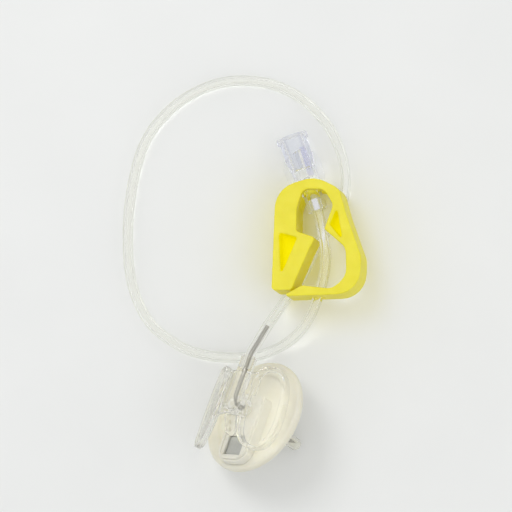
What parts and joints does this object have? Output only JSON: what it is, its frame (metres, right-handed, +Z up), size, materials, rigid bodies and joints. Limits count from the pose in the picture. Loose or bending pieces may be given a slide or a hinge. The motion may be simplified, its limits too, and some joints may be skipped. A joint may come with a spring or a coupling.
{
  "type": "huber needle",
  "caption": "Non-coring port needle with grip wings, soft base disc, safety clip, sheath, extension tube, pinch clamp and luer connector.",
  "frame": {"origin": "on the surface that the needle lies on, below the middle of the needle with its wings, disc and sheath, without the extension tube and what is on it", "axes": "+Z up, away from the surface; +Y from the needle towards the loop of its extension tube; +X to the right, seen from above"},
  "size_m": [0.0588, 0.095, 0.0273],
  "materials": {
    "needle_steel": "satin",
    "clip_steel": "satin",
    "clear_plastic": "gloss",
    "clear_soft": "gloss",
    "cream_soft": "satin",
    "cream_plastic": "satin",
    "tube_plastic": "gloss",
    "clamp_yellow": "satin",
    "connector_violet": "gloss"
  },
  "bodies": {
    "hub": {"cannula": "needle_steel", "needle_hub": "clear_plastic", "wings": "clear_soft", "extension_tube": "tube_plastic", "pinch_clamp": "clamp_yellow", "luer_connector": "connector_violet"},
    "base": {"base_disc": "cream_soft", "safety_housing": "cream_plastic", "housing_cover": "clear_plastic", "safety_clip": "clip_steel"},
    "sheath": {"needle_sheath": "clear_plastic"}
  },
  "joints": [
    {"name": "safety_slide", "type": "slide", "parent": "hub", "child": "base", "axis": [0.6279, -0.4397, -0.6422], "range_m": [0, 0.0175]},
    {"name": "sheath_pull", "type": "slide", "parent": "base", "child": "sheath", "axis": [0.6279, -0.4397, -0.6422], "range_m": [0, 0.02]}
  ]
}
